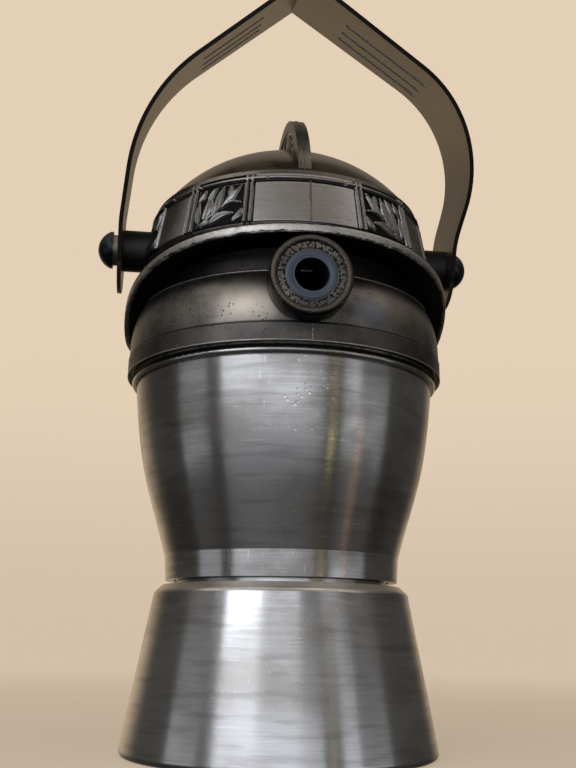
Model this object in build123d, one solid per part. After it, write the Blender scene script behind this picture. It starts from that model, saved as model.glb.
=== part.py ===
from build123d import *
import math
import os

# Stovetop coffee pot with a helmet-shaped cover and a strap bail.
# Frame: +Z up, origin at the middle of the boiler's base, spout towards -Y,
# bail pivots parallel to the X axis. Lengths in millimetres, angles in degrees.

# How far a cut runs past the face it opens, and how far a shape made for cutting reaches sideways
PAST = 5.0
SIDEWAYS = 80.0

# Boiler
BASE_RADIUS = 47.1
SHOULDER_RADIUS = 38.6
SHOULDER_Z = 46.0
SHOULDER_TOP_Z = 48.2
BOILER_WALL = 2.0
BASE_CORNER = 1.6
SHOULDER_BEVEL = 2.4
NECK_CREST_RADIUS = 32.4
NECK_ROOT_RADIUS = 31.6
NECK_BORE = 29.0
RIM_Z = 57.0
THREAD_LEAD = 4.0
THREAD_STARTS = 2
THREAD_RUNOUT = 1.2
THREAD_FLANK = 0.5
THREAD_FLAT = 0.4

# Safety valve at the back of the boiler
VALVE_Z = 31.0
PAD_RADIUS = 7.6
PAD_FACE_Y = 43.0
VALVE_WASHER_THICKNESS = 0.8
VALVE_WASHER_RADIUS = 6.7
VALVE_SHANK_RADIUS = 3.9
VALVE_TIP_Y = 36.0
VALVE_HEX_FLATS = 11.0
VALVE_HEX_LENGTH = 5.8
VALVE_CHAMBER_RADIUS = 3.0
VALVE_INLET_RADIUS = 1.5
VALVE_SEAT_Y = 38.0
VALVE_CAP_THICKNESS = 1.4
VALVE_PIN_RADIUS = 1.15
VALVE_PIN_PROUD = 1.0
VALVE_PIN_GAP = 0.06
POPPET_RADIUS = 2.6
POPPET_THICKNESS = 1.2
POPPET_LIFT = 0.1
SPRING_COIL_RADIUS = 2.1
SPRING_WIRE_RADIUS = 0.32
SPRING_TURNS = 6
SPRING_GAP = 0.05

# Funnel, gasket and filter plate
SHEET = 0.6
CUP_RADIUS = 28.5
CUP_FLANGE_RADIUS = 30.8
CUP_BOTTOM_Z = 40.0
CUP_CONE_DROP = 4.2
STEM_RADIUS = 4.0
STEM_END_Z = 5.0
SIEVE_RADIUS = 27.7
GASKET_INNER = 27.0
GASKET_OUTER = 32.0
GASKET_LOW_Z = 57.8
GASKET_HIGH_Z = 59.8
PLATE_RADIUS = 28.6
PLATE_Z = 58.5
HOLE_RADIUS = 0.85
HOLE_RINGS = 5
SIEVE_HOLE_SPACING = 4.9
PLATE_HOLE_SPACING = 4.6

# Barrel, the upper vessel
BARREL_WALL = 1.4
FOOT_Z = 49.6
FOOT_RADIUS = 35.4
FOOT_BORE = 32.9
FLOOR_LOW_Z = 60.0
FLOOR_TOP_Z = 62.0
BARREL_SIDE = [(35.9, 56.9), (39.6, 69.4), (43.1, 81.7), (45.4, 94.1), (47.0, 109.0)]
BEAD_RADIUS = 0.9
BEAD_CENTRE = 47.6
BEAD_Z = 110.3

# Riser column inside the barrel
COLUMN_BORE = 3.6
COLUMN_FOOT_RADIUS = 7.4
COLUMN_TOP_RADIUS = 5.8
COLUMN_FLANGE_RADIUS = 9.0
COLUMN_SPIGOT_RADIUS = 4.5
COLUMN_FLANGE_THICKNESS = 1.0
COLUMN_FLANGE_CONE = 1.4
COLUMN_TOP_Z = 103.0
COLUMN_WINDOW_Z = 97.0
COLUMN_WINDOW_WIDTH = 5.0
COLUMN_WINDOW_HEIGHT = 6.4
PLUG_DEPTH = 1.4
PLUG_OVERHANG = 0.6
PLUG_SIDE_HEIGHT = 2.4
PLUG_BEVEL = 2.4
PLUG_CROWN = 4.8

# Collar casting with the spout
RING_RADIUS = 50.0
RING_LOW_Z = 112.3
RING_HIGH_Z = 117.4
COLLAR_BORE = 44.0
COLLAR_TOP_Z = 134.0
SHOULDER_SIDE = [(49.7, 118.3), (49.5, 123.5), (48.1, 130.2), (46.3, 134.0)]
SPIGOT_LOW_Z = 106.0
SPIGOT_GAP = 0.45
RECESS_DEPTH = 1.9
RECESS_LEDGE = 0.6
RING_EDGE = 0.9
SPOUT_Z = 129.4
SPOUT_RADIUS = 11.6
SPOUT_END_Y = -56.0
COLLAR_TOP_RADIUS = SHOULDER_SIDE[-1][0]
LINER_RADIUS = 7.25
LINER_BORE = 4.85
LINER_LENGTH = 9.0
LUG_ANGLES = (60.0, 180.0, 300.0)
LUG_HALF_ANGLE = 7.0
TAB_LOW_Z = 129.0
TAB_HIGH_Z = 131.0
TAB_BORE = 42.0

# Cover
NECK_RADIUS = 46.2
NECK_LOW_Z = 134.4
PLUG_RADIUS = 41.7
PLUG_BORE = 39.6
PLUG_LOW_Z = 124.5
PLUG_CONE_LOW_Z = 136.2
PLUG_CONE_HIGH_Z = 138.0
PLUG_NOTCH_HALF_ANGLE = 24.0
LUG_RADIUS = 43.7
LUG_LOW_Z = 126.0
LUG_HIGH_Z = 128.6
BAND_LOW = (46.4, 149.0)
BAND_HIGH = (43.3, 165.2)
BAND_RIDGE = [(43.8, 165.5), (43.6, 166.7), (43.2, 167.0)]
DOME_RADIUS = 52.0
DOME_CENTRE_Z = 137.5
INNER_DOME_RADIUS = 43.9
INNER_DOME_CENTRE_Z = 143.0
SKIRT_SIDE = [(46.3, 149.0), (47.6, 145.0), (49.2, 138.0), (50.7, 129.0), (51.3, 121.0)]
SKIRT_OVERLAP = 0.6
COLLAR_CLEARANCE = 0.45
BRIM_SIDE_RADIUS = 52.0
BRIM_FRONT_RADIUS = 56.2
BRIM_THICKNESS = 2.4
BRIM_SPACE_LOW_Z = 115.0
BRIM_SPACE_HEIGHT = 35.0
BRIM_EDGE = [
    (-60.0, 141.9),
    (-44.0, 140.8),
    (-28.0, 137.8),
    (-12.0, 133.4),
    (0.0, 129.0),
    (10.0, 125.8),
    (20.0, 126.8),
    (32.0, 131.4),
    (46.0, 136.2),
    (60.0, 138.8),
]

# Crest comb
CREST_RADIUS = 43.2
CREST_CENTRE_Z = 157.8
CREST_THICKNESS = 3.0
CREST_RIM_THICKNESS = 4.0
CREST_RIM_WIDTH = 3.4
CREST_STUD_Y = 22.0
CREST_STUD_RADIUS = 1.5
CREST_STUD_LOW_Z = 177.4
CREST_STUD_LENGTH = 10.0
CREST_NUT_FLATS = 5.2
CREST_NUT_THICKNESS = 2.0
CREST_NUT_REACH = 3.2

# Bail and its pivots
PIVOT_Z = 155.3
BOSS_RADIUS = 6.75
BOSS_END_X = 53.6
STRAP_THICKNESS = 1.3
STRAP_GAP = 0.15
STRAP_END_HALF_WIDTH = 12.2
STRAP_TOP_HALF_WIDTH = 19.0
STRAP_TAIL = 14.0
STRAP_APEX = (-0.6, 87.1)
STRAP_APEX_RADIUS = 1.2
STRAP_START_Z = 9.5
STRAP_TAPER_Z = 8.0
STRAP_START_RADIUS = 40.0
STRAP_RIGHT_CORNER = (63.1, 48.3)
STRAP_RIGHT_RADIUS = 40.0
STRAP_LEFT_CORNER = (-50.3, 47.6)
STRAP_LEFT_RADIUS = 53.6
SLOT_OFFSETS = (5.4, -2.6, -9.4)
SLOT_WIDTH = 2.4
SLOT_RIGHT = ((15.0, 77.6), (43.2, 60.4))
SLOT_LEFT = ((-12.6, 77.6), (-31.4, 62.6))
REST_TILT = 19.8
PIVOT_SHANK_RADIUS = 2.5
STRAP_HOLE_RADIUS = 2.58
WASHER_RADIUS = 5.0
WASHER_THICKNESS = 1.8
CAP_RADIUS = 6.0
CAP_HEIGHT = 4.8
CAP_EDGE = 0.8
PIVOT_INNER_X = 36.6
PIVOT_NUT_X = 37.4
PIVOT_NUT_THICKNESS = 2.6
PIVOT_NUT_FLATS = 8.0


def at_height(points):
    """(radius, height) pairs as points of the XZ plane."""
    return [(radius, 0, height) for radius, height in points]


def turned(points):
    """Solid of revolution about Z of a closed outline of (radius, height) corners."""
    return revolve(make_face(Polyline(*at_height(points), close=True)), Axis.Z)


def ring(inner, outer, low, high):
    """Plain ring about Z between two heights."""
    body = Cylinder(outer, high - low) - Cylinder(inner, high - low)
    return Pos(0, 0, (low + high) / 2) * body


def disc(radius, low, high):
    """Plain disc about Z between two heights."""
    return Pos(0, 0, (low + high) / 2) * Cylinder(radius, high - low)


def along_y(radius, start, end, z):
    """Round bar along Y between two Y values."""
    return Pos(0, (start + end) / 2, z) * Rot(90, 0, 0) * Cylinder(radius, abs(end - start))


def along_x(radius, start, end, z):
    """Round bar along X between two X values."""
    return Pos((start + end) / 2, 0, z) * Rot(0, 90, 0) * Cylinder(radius, abs(end - start))


def wedge(angle, half_angle, low, high):
    """Sector about Z, centred on an angle counted from the spout towards +X."""
    corners = [(0, 0)]
    for side in (-half_angle, half_angle):
        turn = math.radians(angle + side)
        corners.append((SIDEWAYS * math.sin(turn), -SIDEWAYS * math.cos(turn)))
    face = make_face(Polyline(*corners, close=True))
    return Pos(0, 0, low) * extrude(face, high - low)


def round_edges(body, places, size):
    """Round the circular edges about Z that lie at the given (radius, height) places."""
    chosen = []
    for edge in body.edges().filter_by(GeomType.CIRCLE):
        centre = edge.arc_center
        on_axis = math.hypot(centre.X, centre.Y) < 0.01
        for radius, height in places:
            if on_axis and abs(edge.radius - radius) < 0.05 and abs(centre.Z - height) < 0.05:
                chosen.append(edge)
    return fillet(chosen, size)


def boiler_radius(z):
    """Outer radius of the boiler's cone at a height."""
    return BASE_RADIUS + (SHOULDER_RADIUS - BASE_RADIUS) * z / SHOULDER_Z


def boiler():
    """Conical water vessel with a threaded neck and a flat pad for the valve."""
    outline = [(0, 0), (BASE_RADIUS, 0), (SHOULDER_RADIUS, SHOULDER_Z)]
    outline.append((SHOULDER_RADIUS - SHOULDER_BEVEL, SHOULDER_TOP_Z))
    outline.append((NECK_ROOT_RADIUS, SHOULDER_TOP_Z))
    pitch = THREAD_LEAD / THREAD_STARTS
    low = SHOULDER_TOP_Z + THREAD_RUNOUT
    while low + pitch < RIM_Z:
        outline.append((NECK_ROOT_RADIUS, low))
        outline.append((NECK_CREST_RADIUS, low + THREAD_FLANK))
        outline.append((NECK_CREST_RADIUS, low + THREAD_FLANK + THREAD_FLAT))
        outline.append((NECK_ROOT_RADIUS, low + 2 * THREAD_FLANK + THREAD_FLAT))
        low += pitch
    outline.append((NECK_ROOT_RADIUS, RIM_Z))
    outline.append((0, RIM_Z))
    body = turned(outline)
    body = round_edges(body, [(BASE_RADIUS, 0), (SHOULDER_RADIUS, SHOULDER_Z)], BASE_CORNER)
    body += along_y(PAD_RADIUS, boiler_radius(VALVE_Z) - 2 * BOILER_WALL, PAD_FACE_Y, VALVE_Z)
    cavity = [(0, BOILER_WALL), (boiler_radius(BOILER_WALL) - BOILER_WALL, BOILER_WALL)]
    cavity.append((SHOULDER_RADIUS - BOILER_WALL, SHOULDER_Z - 1))
    cavity.append((NECK_BORE, SHOULDER_TOP_Z))
    cavity.append((NECK_BORE, RIM_Z + PAST))
    cavity.append((0, RIM_Z + PAST))
    body -= turned(cavity)
    return body - along_y(VALVE_SHANK_RADIUS, VALVE_TIP_Y - PAST, PAD_FACE_Y + PAST, VALVE_Z)


def valve_hex_end():
    """Y of the valve body's outer face."""
    return PAD_FACE_Y + VALVE_WASHER_THICKNESS + VALVE_HEX_LENGTH


def valve_body():
    """Brass body of the safety valve, with a seat at its inner end."""
    start = PAD_FACE_Y + VALVE_WASHER_THICKNESS
    nut = extrude(RegularPolygon(VALVE_HEX_FLATS / 2, 6, major_radius=False), VALVE_HEX_LENGTH)
    body = Pos(0, start, VALVE_Z) * Rot(-90, 0, 0) * nut
    body += along_y(VALVE_SHANK_RADIUS, VALVE_TIP_Y, start, VALVE_Z)
    body -= along_y(VALVE_CHAMBER_RADIUS, VALVE_SEAT_Y, valve_hex_end() + PAST, VALVE_Z)
    return body - along_y(VALVE_INLET_RADIUS, VALVE_TIP_Y - PAST, VALVE_SEAT_Y, VALVE_Z)


def valve_washer():
    """Sealing washer between the valve's hexagon and the boiler's pad."""
    end = PAD_FACE_Y + VALVE_WASHER_THICKNESS
    washer = along_y(VALVE_WASHER_RADIUS, PAD_FACE_Y, end, VALVE_Z)
    return washer - along_y(VALVE_SHANK_RADIUS, PAD_FACE_Y - PAST, end + PAST, VALVE_Z)


def valve_cap():
    """Pressed-in ring that holds the spring and guides the pin."""
    start = valve_hex_end() - VALVE_CAP_THICKNESS
    cap = along_y(VALVE_CHAMBER_RADIUS, start, valve_hex_end(), VALVE_Z)
    bore = VALVE_PIN_RADIUS + VALVE_PIN_GAP
    return cap - along_y(bore, start - PAST, valve_hex_end() + PAST, VALVE_Z)


def valve_pin():
    """Poppet disc with the thin pin that shows through the valve's cap."""
    start = VALVE_SEAT_Y + POPPET_LIFT
    pin = along_y(POPPET_RADIUS, start, start + POPPET_THICKNESS, VALVE_Z)
    return pin + along_y(VALVE_PIN_RADIUS, start, valve_hex_end() + VALVE_PIN_PROUD, VALVE_Z)


def valve_spring():
    """Coil spring between the poppet and the valve's cap."""
    clear = SPRING_WIRE_RADIUS + SPRING_GAP
    start = VALVE_SEAT_Y + POPPET_LIFT + POPPET_THICKNESS + clear
    end = valve_hex_end() - VALVE_CAP_THICKNESS - clear
    length = end - start
    path = Helix(length / SPRING_TURNS, length, SPRING_COIL_RADIUS)
    section = Plane(path @ 0, z_dir=path % 0) * Circle(SPRING_WIRE_RADIUS)
    coil = sweep(section, path, is_frenet=True)
    return Pos(0, start, VALVE_Z) * Rot(-90, 0, 0) * coil


def perforated(radius, low, spacing):
    """Thin disc with rings of round holes, six more holes in each ring outwards."""
    plate = disc(radius, low, low + SHEET)
    hole = Cylinder(HOLE_RADIUS, 4 * SHEET)
    cutters = [Pos(0, 0, low) * hole]
    for index in range(1, HOLE_RINGS + 1):
        for spot in PolarLocations(index * spacing, 6 * index):
            cutters.append(Pos(0, 0, low) * spot * hole)
    return plate - cutters


def funnel():
    """Coffee basket with its stem: thin sheet, flange on the boiler's rim."""
    inner_cup = CUP_RADIUS - SHEET
    inner_stem = STEM_RADIUS - SHEET
    outline = [
        (CUP_FLANGE_RADIUS, RIM_Z),
        (CUP_FLANGE_RADIUS, RIM_Z + SHEET),
        (inner_cup, RIM_Z + SHEET),
        (inner_cup, CUP_BOTTOM_Z + SHEET),
        (inner_stem, CUP_BOTTOM_Z + SHEET - CUP_CONE_DROP),
        (inner_stem, STEM_END_Z),
        (STEM_RADIUS, STEM_END_Z),
        (STEM_RADIUS, CUP_BOTTOM_Z - CUP_CONE_DROP),
        (CUP_RADIUS, CUP_BOTTOM_Z),
        (CUP_RADIUS, RIM_Z),
    ]
    return turned(outline)


def gasket():
    """Rubber ring between the funnel and the barrel's floor, grooved for the filter plate."""
    body = ring(GASKET_INNER, GASKET_OUTER, GASKET_LOW_Z, GASKET_HIGH_Z)
    return body - disc(PLATE_RADIUS, PLATE_Z, PLATE_Z + SHEET)


def barrel_face(inset, low_points, high_points):
    """Face under the barrel's side curve, moved inwards by inset, closed by the given corners."""
    side = [(radius - inset, height) for radius, height in BARREL_SIDE]
    curve = Spline(*at_height(side))
    corners = [side[-1]] + high_points + low_points + [side[0]]
    return make_face([curve, Polyline(*at_height(corners))])


def barrel():
    """Flared vessel that collects the coffee: threaded foot, floor, and a rolled bead at the top."""
    top = (0, BEAD_Z)
    low_corners = [(0, FOOT_Z), (FOOT_RADIUS, FOOT_Z)]
    body = revolve(barrel_face(0, low_corners, [(BARREL_SIDE[-1][0], BEAD_Z), top]), Axis.Z)
    body += Pos(0, 0, BEAD_Z) * Torus(BEAD_CENTRE, BEAD_RADIUS)
    inner_top = BARREL_SIDE[-1][0] - BARREL_WALL
    chamber_top = BEAD_Z + PAST
    chamber_corners = [(0, BARREL_SIDE[0][1])]
    chamber = revolve(
        barrel_face(BARREL_WALL, chamber_corners, [(inner_top, chamber_top), (0, chamber_top)]), Axis.Z
    )
    body -= chamber - disc(BARREL_SIDE[-1][0], FOOT_Z, FLOOR_TOP_Z)
    body -= disc(FOOT_BORE, FOOT_Z - PAST, FLOOR_LOW_Z)
    return body - disc(COLUMN_SPIGOT_RADIUS, FLOOR_LOW_Z - PAST, FLOOR_TOP_Z + PAST)


def riser_column():
    """Tube that the coffee rises through, spigoted into the floor, with two windows at the top."""
    outline = [
        (COLUMN_BORE, FLOOR_LOW_Z),
        (COLUMN_SPIGOT_RADIUS, FLOOR_LOW_Z),
        (COLUMN_SPIGOT_RADIUS, FLOOR_TOP_Z),
        (COLUMN_FLANGE_RADIUS, FLOOR_TOP_Z),
        (COLUMN_FLANGE_RADIUS, FLOOR_TOP_Z + COLUMN_FLANGE_THICKNESS),
        (COLUMN_FOOT_RADIUS, FLOOR_TOP_Z + COLUMN_FLANGE_THICKNESS + COLUMN_FLANGE_CONE),
        (COLUMN_TOP_RADIUS, COLUMN_TOP_Z),
        (COLUMN_BORE, COLUMN_TOP_Z),
    ]
    window = Box(4 * COLUMN_TOP_RADIUS, COLUMN_WINDOW_WIDTH, COLUMN_WINDOW_HEIGHT)
    return turned(outline) - Pos(0, 0, COLUMN_WINDOW_Z) * window


def column_cap():
    """Domed plug that closes the column's top and turns the coffee sideways."""
    outline = [
        (0, COLUMN_TOP_Z - PLUG_DEPTH),
        (COLUMN_BORE, COLUMN_TOP_Z - PLUG_DEPTH),
        (COLUMN_BORE, COLUMN_TOP_Z),
        (COLUMN_TOP_RADIUS + PLUG_OVERHANG, COLUMN_TOP_Z),
        (COLUMN_TOP_RADIUS + PLUG_OVERHANG, COLUMN_TOP_Z + PLUG_SIDE_HEIGHT),
        (COLUMN_TOP_RADIUS + PLUG_OVERHANG - PLUG_BEVEL, COLUMN_TOP_Z + PLUG_CROWN - PLUG_OVERHANG),
        (0, COLUMN_TOP_Z + PLUG_CROWN),
    ]
    return turned(outline)


def shoulder_face(clearance):
    """Face from the collar's bore out to its shoulder curve, grown by a clearance."""
    side = [(radius + clearance, height) for radius, height in SHOULDER_SIDE]
    side[-1] = (side[-1][0], side[-1][1] + clearance)
    curve = Spline(*at_height(side))
    corners = [side[-1], (COLLAR_BORE, side[-1][1]), (COLLAR_BORE, side[0][1]), side[0]]
    return make_face([curve, Polyline(*at_height(corners))])


def collar():
    """Cast collar on the barrel's bead: ring, bowl-shaped shoulder, round spout and bayonet tabs."""
    seat_z = BEAD_Z + BEAD_RADIUS
    fit_radius = BARREL_SIDE[-1][0] - BARREL_WALL - SPIGOT_GAP
    base = [
        (COLLAR_BORE, SHOULDER_SIDE[0][1]),
        (COLLAR_BORE, SPIGOT_LOW_Z),
        (fit_radius, SPIGOT_LOW_Z),
        (fit_radius, seat_z),
        (BEAD_CENTRE, seat_z),
        (BEAD_CENTRE + RECESS_LEDGE, seat_z + RECESS_DEPTH),
        (RING_RADIUS - RING_EDGE, seat_z + RECESS_DEPTH),
        (RING_RADIUS, RING_LOW_Z),
        (RING_RADIUS, RING_HIGH_Z),
        (SHOULDER_SIDE[0][0], (RING_HIGH_Z + SHOULDER_SIDE[0][1]) / 2),
        SHOULDER_SIDE[0],
    ]
    body = turned(base) + revolve(shoulder_face(0), Axis.Z)
    stub = along_y(SPOUT_RADIUS, -COLLAR_BORE + 1, SPOUT_END_Y, SPOUT_Z)
    stub -= disc(COLLAR_BORE, SPIGOT_LOW_Z, COLLAR_TOP_Z)
    stub -= disc(NECK_RADIUS + COLLAR_CLEARANCE, COLLAR_TOP_Z, SPOUT_Z + SPOUT_RADIUS)
    body += stub
    for angle in LUG_ANGLES:
        tab = ring(TAB_BORE, (COLLAR_BORE + COLLAR_TOP_RADIUS) / 2, TAB_LOW_Z, TAB_HIGH_Z)
        body += tab & wedge(angle, LUG_HALF_ANGLE, TAB_LOW_Z, TAB_HIGH_Z)
    body -= along_y(LINER_BORE, -COLLAR_BORE + PAST, SPOUT_END_Y, SPOUT_Z)
    return body - along_y(LINER_RADIUS, SPOUT_END_Y + LINER_LENGTH, SPOUT_END_Y - PAST, SPOUT_Z)


def spout_liner():
    """Smooth tube pressed into the spout."""
    end = SPOUT_END_Y + LINER_LENGTH
    tube = along_y(LINER_RADIUS, SPOUT_END_Y, end, SPOUT_Z)
    return tube - along_y(LINER_BORE, SPOUT_END_Y - PAST, end + PAST, SPOUT_Z)


def brim_band(thickness):
    """Plate of a thickness above the brim's edge curve seen from the side, across the whole cover."""
    low = [(0, y, z) for y, z in BRIM_EDGE]
    high = [(0, y, z + thickness) for y, z in BRIM_EDGE]
    ends = [Line(low[0], high[0]), Line(low[-1], high[-1])]
    face = make_face([Spline(*low), Spline(*high)] + ends)
    return extrude(face, SIDEWAYS, dir=(1, 0, 0), both=True)


def collar_room():
    """Space that the cover leaves free around the collar's shoulder and the spout."""
    room = revolve(shoulder_face(COLLAR_CLEARANCE), Axis.Z)
    return room + disc(SHOULDER_SIDE[0][0] + COLLAR_CLEARANCE, RING_HIGH_Z, SHOULDER_SIDE[0][1])


def brim():
    """Flared skirt and boat-shaped brim: high at the front and back, low at the sides."""
    outline = at_height(SKIRT_SIDE)
    inner = NECK_RADIUS - SKIRT_OVERLAP
    corners = [SKIRT_SIDE[-1], (inner, SKIRT_SIDE[-1][1]), (inner, BAND_LOW[1]), SKIRT_SIDE[0]]
    skirt = revolve(make_face([Spline(*outline), Polyline(*at_height(corners))]), Axis.Z)
    skirt &= brim_band(BRIM_SPACE_HEIGHT)
    plate = extrude(Ellipse(BRIM_SIDE_RADIUS, BRIM_FRONT_RADIUS), BRIM_SPACE_HEIGHT)
    plate = Pos(0, 0, BRIM_SPACE_LOW_Z) * plate
    plate &= brim_band(BRIM_THICKNESS)
    plate -= disc(inner, BRIM_SPACE_LOW_Z, BRIM_SPACE_LOW_Z + BRIM_SPACE_HEIGHT)
    return (skirt + plate) - collar_room()


def sphere_point(radius, rise):
    """Radius of a sphere at a height over its centre."""
    return math.sqrt(radius**2 - rise**2)


def cover_shell():
    """Neck, plain band for the frieze, and dome, turned as one shell."""
    ridge_top_z = BAND_RIDGE[-1][1]
    start = (sphere_point(DOME_RADIUS, ridge_top_z - DOME_CENTRE_Z), ridge_top_z)
    half_way = math.radians(60)
    middle = (DOME_RADIUS * math.cos(half_way), DOME_CENTRE_Z + DOME_RADIUS * math.sin(half_way))
    top = (0, DOME_CENTRE_Z + DOME_RADIUS)
    inner_low = (sphere_point(INNER_DOME_RADIUS, BAND_LOW[1] - INNER_DOME_CENTRE_Z), BAND_LOW[1])
    inner_middle = (
        INNER_DOME_RADIUS * math.cos(half_way),
        INNER_DOME_CENTRE_Z + INNER_DOME_RADIUS * math.sin(half_way),
    )
    inner_top = (0, INNER_DOME_CENTRE_Z + INNER_DOME_RADIUS)
    outer_arc = ThreePointArc(*at_height([start, middle, top]))
    inner_arc = ThreePointArc(*at_height([inner_top, inner_middle, inner_low]))
    outside = Polyline(*at_height([(NECK_RADIUS, NECK_LOW_Z), BAND_LOW, BAND_HIGH] + BAND_RIDGE + [start]))
    crown = Polyline(*at_height([top, inner_top]))
    inside = [
        inner_low,
        (inner_low[0], PLUG_CONE_HIGH_Z),
        (PLUG_BORE, PLUG_CONE_LOW_Z),
        (PLUG_BORE, PLUG_LOW_Z),
        (PLUG_RADIUS, PLUG_LOW_Z),
        (PLUG_RADIUS, NECK_LOW_Z),
        (NECK_RADIUS, NECK_LOW_Z),
    ]
    face = make_face([outside, outer_arc, crown, inner_arc, Polyline(*at_height(inside))])
    return revolve(face, Axis.Z)


def cover():
    """Helmet-shaped cover: shell, brim, bayonet lugs, and holes for the pivots and the crest."""
    body = cover_shell()
    body -= wedge(0, PLUG_NOTCH_HALF_ANGLE, PLUG_LOW_Z - PAST, NECK_LOW_Z)
    for angle in LUG_ANGLES:
        lug = ring((PLUG_BORE + PLUG_RADIUS) / 2, LUG_RADIUS, LUG_LOW_Z, LUG_HIGH_Z)
        body += lug & wedge(angle, LUG_HALF_ANGLE, LUG_LOW_Z, LUG_HIGH_Z)
    body += brim()
    body -= along_x(PIVOT_SHANK_RADIUS, -BOSS_END_X, BOSS_END_X, PIVOT_Z)
    for side in (-1, 1):
        hole = disc(CREST_STUD_RADIUS, CREST_STUD_LOW_Z - PAST, CREST_CENTRE_Z + CREST_RADIUS)
        body -= Pos(0, side * CREST_STUD_Y, 0) * hole
    return body


def crest():
    """Half-moon comb along the dome, with a raised rim and two studs through the dome."""
    plate = along_x(CREST_RADIUS, -CREST_THICKNESS / 2, CREST_THICKNESS / 2, CREST_CENTRE_Z)
    half_rim = CREST_RIM_THICKNESS / 2
    rim = along_x(CREST_RADIUS, -half_rim, half_rim, CREST_CENTRE_Z)
    rim -= along_x(CREST_RADIUS - CREST_RIM_WIDTH, -half_rim, half_rim, CREST_CENTRE_Z)
    body = plate + rim
    body -= Pos(0, 0, DOME_CENTRE_Z) * Sphere(DOME_RADIUS)
    body -= disc(SIDEWAYS, DOME_CENTRE_Z - DOME_RADIUS, BAND_RIDGE[-1][1])
    for side in (-1, 1):
        stud = disc(CREST_STUD_RADIUS, CREST_STUD_LOW_Z, CREST_STUD_LOW_Z + CREST_STUD_LENGTH)
        body += Pos(0, side * CREST_STUD_Y, 0) * stud
    return body


def crest_nuts():
    """Two small nuts on the crest's studs, inside the dome."""
    ceiling = INNER_DOME_CENTRE_Z + sphere_point(INNER_DOME_RADIUS, CREST_STUD_Y + CREST_NUT_REACH)
    nut = extrude(RegularPolygon(CREST_NUT_FLATS / 2, 6, major_radius=False), CREST_NUT_THICKNESS)
    nut -= Cylinder(CREST_STUD_RADIUS, 3 * CREST_NUT_THICKNESS)
    low = ceiling - CREST_NUT_THICKNESS
    placed = [Pos(0, side * CREST_STUD_Y, low) * nut for side in (-1, 1)]
    return Compound(placed)


def boss(side):
    """Turned spacer between the cover's band and the strap."""
    body = along_x(BOSS_RADIUS, side * PIVOT_INNER_X, side * BOSS_END_X, PIVOT_Z)
    band = [(0, NECK_LOW_Z), (BAND_LOW[0], NECK_LOW_Z), BAND_LOW, BAND_HIGH, (0, BAND_HIGH[1])]
    body -= turned(band)
    body -= brim()
    bore = along_x(PIVOT_SHANK_RADIUS, side * PIVOT_INNER_X, side * (BOSS_END_X + PAST), PIVOT_Z)
    return body - bore


def washer_start():
    """Distance from the middle to the washer's inner face."""
    return BOSS_END_X + 2 * STRAP_GAP + STRAP_THICKNESS


def pivot_washer(side):
    """Loose washer outside the strap."""
    start = washer_start()
    end = start + WASHER_THICKNESS
    body = along_x(WASHER_RADIUS, side * start, side * end, PIVOT_Z)
    return body - along_x(PIVOT_SHANK_RADIUS, side * (start - PAST), side * (end + PAST), PIVOT_Z)


def pivot_screw(side):
    """Pivot with a domed head outside and a plain end for the nut inside."""
    seat = washer_start() + WASHER_THICKNESS
    body = along_x(PIVOT_SHANK_RADIUS, side * PIVOT_INNER_X, side * seat, PIVOT_Z)
    rise = CAP_HEIGHT - CAP_EDGE
    sphere = (CAP_RADIUS**2 + rise**2) / (2 * rise)
    half_turn = math.asin(CAP_RADIUS / sphere) / 2
    middle_z = CAP_HEIGHT - sphere * (1 - math.cos(half_turn))
    edge = (CAP_RADIUS, 0, CAP_EDGE)
    crown = ThreePointArc(edge, (sphere * math.sin(half_turn), 0, middle_z), (0, 0, CAP_HEIGHT))
    rest = Polyline((0, 0, CAP_HEIGHT), (0, 0, 0), (CAP_RADIUS, 0, 0), edge)
    head = revolve(make_face([crown, rest]), Axis.Z)
    return body + Pos(side * seat, 0, PIVOT_Z) * Rot(0, side * 90, 0) * head


def pivot_nuts():
    """The two nuts that hold the pivots, inside the cover."""
    nut = extrude(RegularPolygon(PIVOT_NUT_FLATS / 2, 6, major_radius=False), PIVOT_NUT_THICKNESS)
    nut -= Cylinder(PIVOT_SHANK_RADIUS, 3 * PIVOT_NUT_THICKNESS)
    placed = []
    for turn in (90, -90):
        placed.append(Pos(0, 0, PIVOT_Z) * Rot(0, turn, 0) * Pos(0, 0, PIVOT_NUT_X) * nut)
    return Compound(placed)


def strap_path():
    """Middle line of the strap in the XZ plane: straight runs joined by tangent arcs."""
    pivot_x = BOSS_END_X + STRAP_GAP + STRAP_THICKNESS / 2
    corners = [
        (-pivot_x, -STRAP_TAIL),
        (-pivot_x, STRAP_START_Z),
        STRAP_LEFT_CORNER,
        STRAP_APEX,
        STRAP_RIGHT_CORNER,
        (pivot_x, STRAP_START_Z),
        (pivot_x, -STRAP_TAIL),
    ]
    radii = [
        STRAP_START_RADIUS,
        STRAP_LEFT_RADIUS,
        STRAP_APEX_RADIUS,
        STRAP_RIGHT_RADIUS,
        STRAP_START_RADIUS,
    ]
    return FilletPolyline(*at_height(corners), radius=radii)


def strap_slots(ends):
    """Three long slots through one arm, side by side across its width."""
    (x1, z1), (x2, z2) = ends
    length = math.hypot(x2 - x1, z2 - z1)
    slots = []
    for offset in SLOT_OFFSETS:
        middle = ((x1 + x2) / 2, -offset, (z1 + z2) / 2)
        plane = Plane(middle, x_dir=(x2 - x1, 0, z2 - z1), z_dir=(z1 - z2, 0, x2 - x1))
        slots.append(extrude(plane * SlotOverall(length, SLOT_WIDTH), PAST, both=True))
    return slots


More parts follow.
